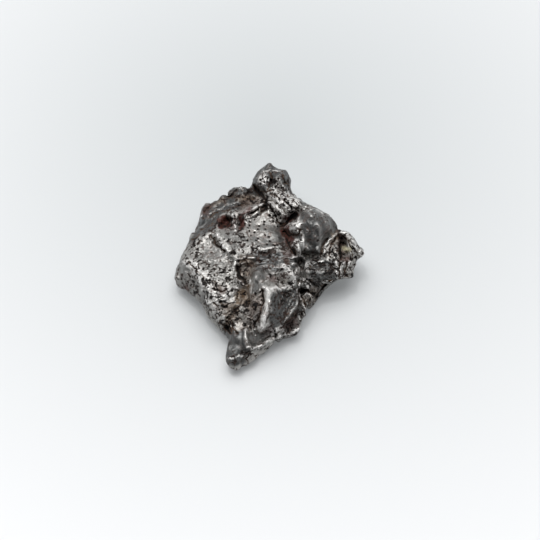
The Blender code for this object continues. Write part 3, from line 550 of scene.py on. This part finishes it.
def places_of(points):
    """The place of the grid at which the eye sees each point."""
    offset = (points - np.array(EYE)) / depth_of(points)[:, None]
    right = offset @ np.array(FACE_RIGHT)
    up = offset @ np.array(FACE_UP)
    return np.column_stack([GRID_CENTRE + right / GRID, GRID_CENTRE - up / GRID])


def directions_to_eye(points):
    to_eye = np.array(EYE) - points
    return to_eye / np.linalg.norm(to_eye, axis=1)[:, None]


def vectors_of(items, name):
    """One vector attribute of all of a mesh's items, as an array."""
    values = np.empty(len(items) * 3)
    items.foreach_get(name, values)
    return values.reshape(-1, 3)


def put_points(mesh, points):
    mesh.vertices.foreach_set("co", points.ravel())
    mesh.update()


def seen_from_eye(mesh, points):
    """How far each point is in the eye's view, from 0, hidden or turned away, to 1."""
    tree = BVHTree.FromPolygons([v.co for v in mesh.vertices], [p.vertices for p in mesh.polygons])
    to_eye = directions_to_eye(points)
    seen = np.clip((vectors_of(mesh.vertices, "normal") * to_eye).sum(axis=1) / FULLY_SEEN, 0, 1)
    for i in np.flatnonzero(seen > 0):
        start = Vector(points[i] + to_eye[i] * SIGHT_START)
        if tree.ray_cast(start, Vector(to_eye[i]))[0] is not None:
            seen[i] = 0
    return seen


def soft_bump(distance, steepness):
    """A bump that is 1 at distance 0, and 0 from distance 1 on."""
    return (1 - np.clip(distance, 0, 1) ** (1 + steepness)) ** 2


def soft_step(distance, width):
    """Rises from 0 to 1 while the distance goes from -width to width."""
    t = np.clip((distance + width) / (2 * width), 0, 1)
    return t * t * (3 - 2 * t)


def elliptic_distance(places, centre, half_width, half_height, turn):
    offset = places - np.array(centre)
    c, s = math.cos(math.radians(turn)), math.sin(math.radians(turn))
    along = (offset[:, 0] * c - offset[:, 1] * s) / half_width
    across = (offset[:, 0] * s + offset[:, 1] * c) / half_height
    return np.hypot(along, across)


def path_distance(places, path):
    """Each place's distance in mm from a path of straight stretches."""
    nearest = np.full(len(places), np.inf)
    for a, b in zip(np.array(path[:-1], dtype=float), np.array(path[1:], dtype=float)):
        along = b - a
        share = np.clip((places - a) @ along / (along @ along), 0, 1)
        distance = np.linalg.norm(places - a - share[:, None] * along, axis=1) * GRID
        nearest = np.minimum(nearest, distance)
    return nearest


def inside_distance(places, corners):
    """Each place's distance in mm from the edge of a many-cornered area, positive inside."""
    distance = path_distance(places, corners + corners[:1])
    inside = np.zeros(len(places), dtype=bool)
    for (ax, ay), (bx, by) in zip(corners, corners[1:] + corners[:1]):
        crosses = (ay > places[:, 1]) != (by > places[:, 1])
        at = (bx - ax) * (places[:, 1] - ay) / ((by - ay) or 1) + ax
        inside ^= crosses & (places[:, 0] < at)
    return np.where(inside, distance, -distance)


def noise_at(points, size, octaves, shift):
    """Fractal noise, about -1 to 1, with features of a size in mm, and apart from other shifts'."""
    moved = points / size + np.array(shift)
    return np.array([noise.fractal(Vector(p), 1.0, 2.0, octaves) for p in moved])


def bent_places(points, size, reach):
    """The places of points, moved by noise with features of a size in mm."""
    bends = [noise_at(points, size, 3, shift) for shift in ((5, 0, 0), (0, 9, 0))]
    return places_of(points) + np.column_stack(bends) * reach


def dab_details(places):
    """The rise of the show face's hollows and swellings at each place, in mm."""
    rise = np.zeros(len(places))
    for _, centre, half_width, half_height, turn, height, steepness in DABS:
        distance = elliptic_distance(places, centre, half_width, half_height, turn)
        rise += height * soft_bump(distance, steepness)
    return rise


def stroke_details(places):
    """The rise of the show face's ridges and creases at each place, in mm."""
    rise = np.zeros(len(places))
    for _, path, half_width, height in STROKES:
        distance = path_distance(places, path) / (2 * half_width)
        rise += height * soft_bump(distance, STEEPNESS)
    return rise


def grain_details(places):
    """The rise of the show face's grain at each place, in mm, and how black its creases are painted, as
    shade.
    """
    rise = np.zeros(len(places))
    creases = np.zeros(len(places))
    for layer, (_, corners, direction, length, width, height) in enumerate(GRAINS):
        weight = height * soft_step(inside_distance(places, corners), GRAIN_EDGE)
        turn = math.radians(direction)
        along = places @ np.array([math.cos(turn), math.sin(turn)]) * GRID / length
        across = places @ np.array([-math.sin(turn), math.cos(turn)]) * GRID / width
        for i in np.flatnonzero(abs(weight) > 0.001):
            wave = noise.fractal(Vector((along[i], across[i], layer * LAYER_SHIFT)), 1.0, 2.0, 2)
            rise[i] += weight[i] * (GRAIN_TOP - GRAIN_FALL * abs(wave))
            if height < 0:
                nearness = 1 - abs(wave) / GRAIN_CREASE
                creases[i] = max(creases[i], -CREASE_STRENGTH * weight[i] * nearness)
    return rise, creases


def pit_depths(points):
    """How deep scattered round pits are at each point, from 0 to 1."""
    deep = np.zeros(len(points))
    for i, point in enumerate(points / PIT_SPACING):
        distances, centres = noise.voronoi(Vector(point))
        if centres[0].x % 1 < PIT_SHARE:
            size = PIT_SMALLEST + PIT_SPREAD * (centres[0].y % 1)
            reach = PIT_RADIUS / PIT_SPACING * size
            deep[i] = max(0.0, 1 - (distances[0] / reach) ** 2)
    return deep


def placed_pits(places):
    """How deep the placed pits are at each place, from 0 to 1."""
    deep = np.zeros(len(places))
    for _, group in PITS:
        for pit in group:
            distance = np.linalg.norm(places - np.array(pit), axis=1) * GRID / PLACED_PIT
            deep = np.maximum(deep, 1 - distance ** 2)
    return deep


def hollowness(mesh, points, rounds):
    """How far each point lies below its surroundings, in mm."""
    ends = np.empty(len(mesh.edges) * 2, dtype=np.int32)
    mesh.edges.foreach_get("vertices", ends)
    a, b = ends.reshape(-1, 2).T
    count = len(points)
    near = np.bincount(a, minlength=count) + np.bincount(b, minlength=count)
    even = points.copy()
    for _ in range(rounds):
        total = np.column_stack([
            np.bincount(a, even[b, axis], count) + np.bincount(b, even[a, axis], count)
            for axis in range(3)
        ])
        even = (even + total / near[:, None]) / 2
    return ((even - points) * vectors_of(mesh.vertices, "normal")).sum(axis=1)


def add_object(name, data):
    made = bpy.data.objects.new(name, data)
    bpy.context.scene.collection.objects.link(made)
    return made


def settle(obj):
    """Applies the object's modifiers to its mesh."""
    graph = bpy.context.evaluated_depsgraph_get()
    mesh = bpy.data.meshes.new_from_object(obj.evaluated_get(graph))
    obj.modifiers.clear()
    obj.data = mesh


def fine_skin():
    """A fine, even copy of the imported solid's skin, in mm."""
    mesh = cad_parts["meteorite"].data.copy()
    mesh.transform(Matrix.Scale(1 / METRES_PER_MM, 4))
    skin = add_object("iron_surface", mesh)
    remesh = skin.modifiers.new("skin", "REMESH")
    remesh.mode = "VOXEL"
    remesh.voxel_size = VOXEL
    soften = skin.modifiers.new("soften", "SMOOTH")
    soften.factor = 0.5
    soften.iterations = SOFTENING
    settle(skin)
    return skin


def area_marks(points, seen):
    """What covers the show face at each point: one array, from 0 to 1, for each kind.

    The areas have wandering edges, apart from the pale grain, which keeps its own.
    """
    wandering = bent_places(points, WANDER_SIZE, AREA_WANDER)
    marks = {}
    for kind, areas in AREAS.items():
        places = places_of(points) if kind == "pale" else wandering
        mark = np.zeros(len(points))
        for _, corners, amount in areas:
            inside = soft_step(inside_distance(places, corners), AREA_EDGE)
            mark = np.maximum(mark, amount * inside)
        marks[kind] = mark * seen
    return marks


def work_skin(skin):
    """Works the fine detail into the skin, and marks it with what covers the metal."""
    mesh = skin.data
    points = vectors_of(mesh.vertices, "co")
    seen = seen_from_eye(mesh, points)
    marks = area_marks(points, seen)
    smooth = marks["smooth"]
    places = bent_places(points, BEND_SIZE, STROKE_BEND)
    strength = STRENGTH + noise_at(points, STRENGTH_SIZE, 2, (9, 7, 1))
    strength = np.clip(strength, LEAST_STRENGTH, MOST_STRENGTH)
    strokes = stroke_details(places) * strength * seen
    grain, grain_creases = grain_details(places)
    placed = placed_pits(places_of(points))
    along_sight = strokes + (dab_details(places) + grain) * seen
    points += directions_to_eye(points) * along_sight[:, None]
    put_points(mesh, points)

    patches = COARSE_USUAL + noise_at(points, COARSE_SIZE, 2, (6, 2, 9))
    patches = np.clip(patches, 0, 1)
    coarse = np.clip(marks["coarse"] + patches, 0, 1) * (1 - COARSE_LOSS * smooth)
    share = FINE_SHARE + (1 - FINE_SHARE) * coarse
    wrinkles = WRINKLE_LEVEL - np.abs(noise_at(points, WRINKLE_SIZE, 3, (2, 4, 6)))
    rough = noise_at(points, ROUGHNESS_SIZE, 3, (7, 1, 3))
    grit = np.abs(noise_at(points, GRIT_SIZE, 2, (3, 5, 1))) - GRIT_LEVEL
    pits = np.maximum(pit_depths(points) * share, placed * seen)
    rise = WRINKLE * wrinkles * (1 - WRINKLE_LOSS * seen)
    rise += ROUGHNESS * rough * share * (1 - ROUGHNESS_LOSS * smooth) + GRIT * grit * coarse
    rise -= PIT_DEPTH * pits
    points += vectors_of(mesh.vertices, "normal") * rise[:, None]
    points[:, 2] = np.maximum(points[:, 2], 0)
    put_points(mesh, points)

    hidden = 1 - seen
    blotches = noise_at(points, BLOTCH_SIZE, 3, (1, 8, 2))
    marks["patina"] += hidden * np.clip(HIDDEN_PATINA + PATINA_SPREAD * blotches, 0, 1)
    marks["smooth"] += hidden * HIDDEN_SMOOTH
    marks["coarse"] = coarse
    # The lip mark carries a painted highlight, and counts the lips as clean metal
    marks["lip"] = np.clip(strokes / LIP, 0, 1)
    # Creases are painted dark and black as shade, and take tan crust
    marks["crease"] = np.clip(np.maximum(-strokes / LIP, grain_creases * seen), 0, 1)
    marks["pit"] = pits
    for kind, (rounds, full_depth) in HOLLOWS.items():
        marks[kind] = hollowness(mesh, points, rounds) / full_depth
    for kind, values in marks.items():
        mark = mesh.attributes.new(kind, "FLOAT", "POINT")
        mark.data.foreach_set("value", values)


def spare_triangles(skin):
    """Takes triangles away where the skin is flattest, down to MOST_TRIANGLES."""
    triangles = sum(len(polygon.vertices) - 2 for polygon in skin.data.polygons)
    spare = skin.modifiers.new("spare", "DECIMATE")
    spare.ratio = min(1.0, MOST_TRIANGLES / triangles)
    settle(skin)


def add_node(tree, kind, inputs=(), **settings):
    """Adds a shader node, and sets or links its inputs."""
    made = tree.nodes.new(kind)
    for name, value in settings.items():
        setattr(made, name, value)
    for name, value in dict(inputs).items():
        if isinstance(value, Signal):
            value = value.socket
        if isinstance(value, bpy.types.NodeSocket):
            tree.links.new(value, made.inputs[name])
        else:
            made.inputs[name].default_value = value
    return made


class Signal:
    """A number that shader nodes work out at each point of a surface."""

    def __init__(self, tree, socket):
        self.tree = tree
        self.socket = socket

    def maths(self, operation, *others):
        made = add_node(self.tree, "ShaderNodeMath", enumerate((self, *others)),
                        operation=operation)
        return Signal(self.tree, made.outputs[0])

    def __add__(self, other):
        return self.maths("ADD", other)

    def __sub__(self, other):
        return self.maths("SUBTRACT", other)

    def __mul__(self, other):
        return self.maths("MULTIPLY", other)

    def most(self, other):
        return self.maths("MAXIMUM", other)

    def ramp(self, low, high, at_low=0.0, at_high=1.0):
        """Maps the number between two bounds to another pair, and stops at them."""
        made = add_node(self.tree, "ShaderNodeMapRange", {
            "Value": self, "From Min": low, "From Max": high,
            "To Min": at_low, "To Max": at_high,
        })
        return Signal(self.tree, made.outputs["Result"])

    def mix(self, first, second):
        """A mix of two colours, where the number is the share of the second."""
        made = add_node(self.tree, "ShaderNodeMix", {0: self, 6: first, 7: second},
                        data_type="RGBA")
        return made.outputs[2]


def mark_of(tree, name):
    made = add_node(tree, "ShaderNodeAttribute", attribute_name=name)
    return Signal(tree, made.outputs["Fac"])


def noise_of(tree, place, scale, detail, roughness=0.6):
    made = add_node(tree, "ShaderNodeTexNoise", {
        "Vector": place, "Scale": scale, "Detail": detail, "Roughness": roughness,
    })
    return Signal(tree, made.outputs["Fac"])


def vector_maths(tree, operation, place, other, output="Vector"):
    """What is worked out from a place and another vector or, to scale it, a number."""
    other_input = 3 if operation == "SCALE" else 1
    made = add_node(tree, "ShaderNodeVectorMath", {0: place, other_input: other},
                    operation=operation)
    return made.outputs[output]


def place_in_mm(tree):
    place = add_node(tree, "ShaderNodeTexCoord").outputs["Object"]
    return vector_maths(tree, "SCALE", place, 1 / METRES_PER_MM)


def bent(tree, place, scale, amount):
    """The place, moved about by noise."""
    drift = add_node(tree, "ShaderNodeTexNoise", {"Vector": place, "Scale": scale})
    offset = vector_maths(tree, "SUBTRACT", drift.outputs["Color"], (0.5,) * 3)
    return vector_maths(tree, "ADD", place, vector_maths(tree, "SCALE", offset, amount))


def threads(tree, place, scale, width):
    """Thin winding lines, 1 in their middle."""
    level = noise_of(tree, place, scale, 1.0) - 0.5
    return level.maths("ABSOLUTE").ramp(width * 0.5, width, 1.0, 0.0)


def specks(tree, place, share, scale, reach):
    """Specks of uneven size, 1 in their middle, in a share of the cells of an uneven grid."""
    smallest, largest = SPECK_SIZES
    cells = add_node(tree, "ShaderNodeTexVoronoi", {"Vector": place, "Scale": scale})
    chance = add_node(tree, "ShaderNodeSeparateColor", {"Color": cells.outputs["Color"]})
    chosen = share.maths("GREATER_THAN", chance.outputs[0])
    size = Signal(tree, chance.outputs[1]).ramp(0.0, 1.0, reach * smallest, reach * largest)
    blackness = Signal(tree, chance.outputs[2]).ramp(0.0, FAINTER_SHARE, FAINTEST_SPECK, 1.0)
    return chosen * blackness * (size - cells.outputs["Distance"]).ramp(0.0, reach * SPECK_EDGE)


def iron_material():
    """Cleaned nickel-iron, with dark patina, rust and tan crust, and painted shade and highlights,
    where the mesh is so marked.
    """
    material = bpy.data.materials.new("meteoric iron")
    material.use_nodes = True
    tree = material.node_tree
    shader = tree.nodes["Principled BSDF"]
    place = place_in_mm(tree)
    crooked = place
    for bend in BENDS:
        crooked = bent(tree, crooked, *bend)
    fine = noise_of(tree, place, *FINE_NOISE)
    middling = noise_of(tree, place, *MIDDLING_NOISE)
    broad = noise_of(tree, place, *BROAD_NOISE)
    names = "patina clean smooth coarse rust tan pale pit lip crease hollow deep".split()
    patina, clean, smooth, coarse, rust, tan, pale, pit, lip, crease, hollow, deep = (
        mark_of(tree, name) for name in names
    )

    # Facets, specks and lines, which are fewer where the metal is smooth, and faint streaks
    facets = add_node(tree, "ShaderNodeTexVoronoi", {"Vector": crooked, "Scale": FACETS})
    facets = Signal(tree, facets.outputs["Distance"])
    calm = smooth.ramp(0.0, 1.0, 1.0, 0.2)
    clusters = noise_of(tree, place, *CLUSTER_NOISE).ramp(0.4, 0.55, 0.4, 1.0) * calm
    share = coarse.ramp(0.0, 1.0, *SPECK_SHARES) * clusters
    large_specks = specks(tree, crooked, share, *LARGE_SPECKS)
    small_specks = specks(tree, crooked, share, *SMALL_SPECKS)
    lines = threads(tree, crooked, *LINES) * middling.ramp(0.48, 0.52)
    lines = lines * coarse.ramp(0.0, 1.0, 0.7, 1.0)
    stretched = vector_maths(tree, "MULTIPLY", place, STREAK_STRETCH)
    streaks = noise_of(tree, stretched, *STREAK_NOISE).ramp(0.3, 0.7)

    # Patina is dark in hollows, where shade is also painted, and worn off what stands out
    sunk = hollow.ramp(0.15, 1.0)
    worn = hollow.ramp(-0.1, -0.9)
    # Lips count as clean bright metal: worn edges, and painted highlight
    clean = clean.most(lip)
    dark = patina - clean + broad.ramp(0.35, 0.65) * 0.25 - worn * 0.35 + sunk * 0.3
    # Creases are darkened as painted shade
    dark = (dark + crease * 0.8).ramp(0.0, 1.0)
    specked = large_specks.most(small_specks).most(pit.ramp(0.15, 0.6)).most(lines * calm)
    # Crease middles are painted black, as shade
    specked = specked.most(crease.ramp(0.55, 1.0) * 0.9)
    # Deep clefts are painted near black with a rust tint, as shade, and made duller
    cleft_shade = hollow.ramp(0.9, 2.2)

    # Red rust where it is marked and deep down, and tan crust also in creases and coarse hollows
    stained = middling.ramp(0.38, 0.6) * 0.5 + 0.5
    rusty = (rust * (stained * 0.5 + 0.5)).ramp(0.0, 0.85)
    rusty = rusty.most(deep.ramp(0.3, 1.2) * broad.ramp(0.45, 0.6, 0.0, 0.25))
    crusted = tan * stained
    crusted = crusted.most(coarse * middling.ramp(0.46, 0.58) * sunk.ramp(0.0, 0.4) * 0.9)
    crusted = crusted.most(crease.ramp(0.35, 0.8) * 0.8)

    uneven = fine.ramp(0.35, 0.65) * 0.5 + streaks * 0.5
    metal = clean.mix(uneven.mix(*IRON), uneven.mix(*BRIGHT_IRON))
    colour = dark.mix(metal, uneven.mix(*DARK_IRON))
    # Painted highlight: near white along the crests of lips
    colour = (lip.ramp(0.7, 1.0) * 0.75).mix(colour, LIP_HIGHLIGHT_COLOUR)
    colour = crusted.mix(colour, CRUST_COLOUR)
    colour = rusty.mix(colour, stained.mix(*RED_RUST))
    colour = (cleft_shade * 0.85).mix(colour, CLEFT_SHADE_COLOUR)
    colour = (specked.ramp(0.05, 0.5) * 0.7).mix(colour, FRINGE_COLOUR)
    colour = specked.ramp(0.35, 0.85).mix(colour, SPECK_COLOUR)
    colour = pale.mix(colour, PALE_COLOUR)

    # What covers the metal makes it duller
    covered = crusted * 0.55 + rusty * 0.85 + specked * 0.6 + cleft_shade * 0.5
    metallic = (covered + pale + clean * 0.5 + 0.12).ramp(0.0, 1.0, 1.0, 0.0)
    rough = (fine * 0.12 + covered * 0.3 + 0.28 - clean * 0.09).ramp(0.0, 1.0)

    height = middling * RELIEF["middling"] + fine * RELIEF["fine"]
    height = height + facets * (coarse * RELIEF["facets"]) + streaks * RELIEF["streaks"]
    height = (height - lines * RELIEF["lines"]) * calm
    height = height - large_specks * RELIEF["large specks"] - small_specks * RELIEF["small specks"]
    bump = add_node(tree, "ShaderNodeBump", {
        "Strength": RELIEF_STRENGTH, "Distance": METRES_PER_MM, "Height": height,
    })
    shader.inputs["Specular IOR Level"].default_value = SPECULAR
    tree.links.new(colour, shader.inputs["Base Color"])
    tree.links.new(metallic.socket, shader.inputs["Metallic"])
    tree.links.new(rough.socket, shader.inputs["Roughness"])
    tree.links.new(bump.outputs["Normal"], shader.inputs["Normal"])
    return material


def add_meteorite():
    """The meteorite's surface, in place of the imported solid's plain one."""
    skin = fine_skin()
    work_skin(skin)
    spare_triangles(skin)
    skin.data.transform(Matrix.Scale(METRES_PER_MM, 4))
    skin.data.materials.clear()
    skin.data.materials.append(iron_material())
    skin.data.shade_smooth()
    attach(skin, "root")
    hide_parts("meteorite")


def floor_material():
    """Plain and pale, a little darker near the object as painted shade, with a faint glow that lifts
    shadows.
    """
    material = bpy.data.materials.new("pale floor")
    material.use_nodes = True
    tree = material.node_tree
    shader = tree.nodes["Principled BSDF"]
    place = add_node(tree, "ShaderNodeTexCoord").outputs["Object"]
    from_middle = vector_maths(tree, "DISTANCE", place, FLOOR_MIDDLE, "Value")
    colour = Signal(tree, from_middle).ramp(0.0, FLOOR_REACH).mix(FLOOR_NEAR_SHADED, FLOOR_FAR)
    tree.links.new(colour, shader.inputs["Base Color"])
    tree.links.new(colour, shader.inputs["Emission Color"])
    shader.inputs["Emission Strength"].default_value = FLOOR_GLOW
    shader.inputs["Roughness"].default_value = FLOOR_ROUGHNESS
    return material


def add_floor():
    mesh = bpy.data.meshes.new("floor")
    half = FLOOR_SIZE / 2
    corners = [(-half, -half, 0), (half, -half, 0), (half, half, 0), (-half, half, 0)]
    mesh.from_pydata(corners, [], [(0, 1, 2, 3)])
    mesh.materials.append(floor_material())
    add_object("floor", mesh)


def add_lights():
    """Round lamps that all point at the object."""
    for name, place, size, power in LIGHTS:
        light = bpy.data.lights.new(name, "AREA")
        light.shape = "DISK"
        light.size = size
        light.energy = power
        lamp = add_object(name, light)
        lamp.location = place
        lamp.rotation_mode = "QUATERNION"
        lamp.rotation_quaternion = Vector(place).to_track_quat("Z", "Y")


def add_sky():
    """Pale all round, and dimmer on the side from which the show face is looked at."""
    world = bpy.data.worlds.new("studio")
    bpy.context.scene.world = world
    world.use_nodes = True
    tree = world.node_tree
    direction = add_node(tree, "ShaderNodeTexCoord").outputs["Generated"]
    toward_front = vector_maths(tree, "DOT_PRODUCT", direction, FACE_OUT, "Value")
    colour = Signal(tree, toward_front).ramp(*SKY_TURN).mix(SKY_ABOVE, SKY_FRONT)
    looked_at = add_node(tree, "ShaderNodeLightPath").outputs["Is Camera Ray"]
    colour = Signal(tree, looked_at).mix(colour, SKY_ABOVE)
    background = tree.nodes["Background"]
    tree.links.new(colour, background.inputs["Color"])
    background.inputs["Strength"].default_value = SKY_STRENGTH


def add_camera():
    lens = bpy.data.cameras.new("camera")
    lens.lens = LENS
    lens.sensor_width = SENSOR
    lens.clip_start, lens.clip_end = CLIP
    camera = add_object("camera", lens)
    camera.location = EYE * METRES_PER_MM
    camera.rotation_mode = "QUATERNION"
    camera.rotation_quaternion = FACE_OUT.to_track_quat("Z", "Y")
    bpy.context.scene.camera = camera


def main():
    noise.seed_set(NOISE_SEED)
    add_meteorite()
    add_floor()
    add_lights()
    add_sky()
    add_camera()
    bpy.context.scene.view_settings.view_transform = "Standard"


main()
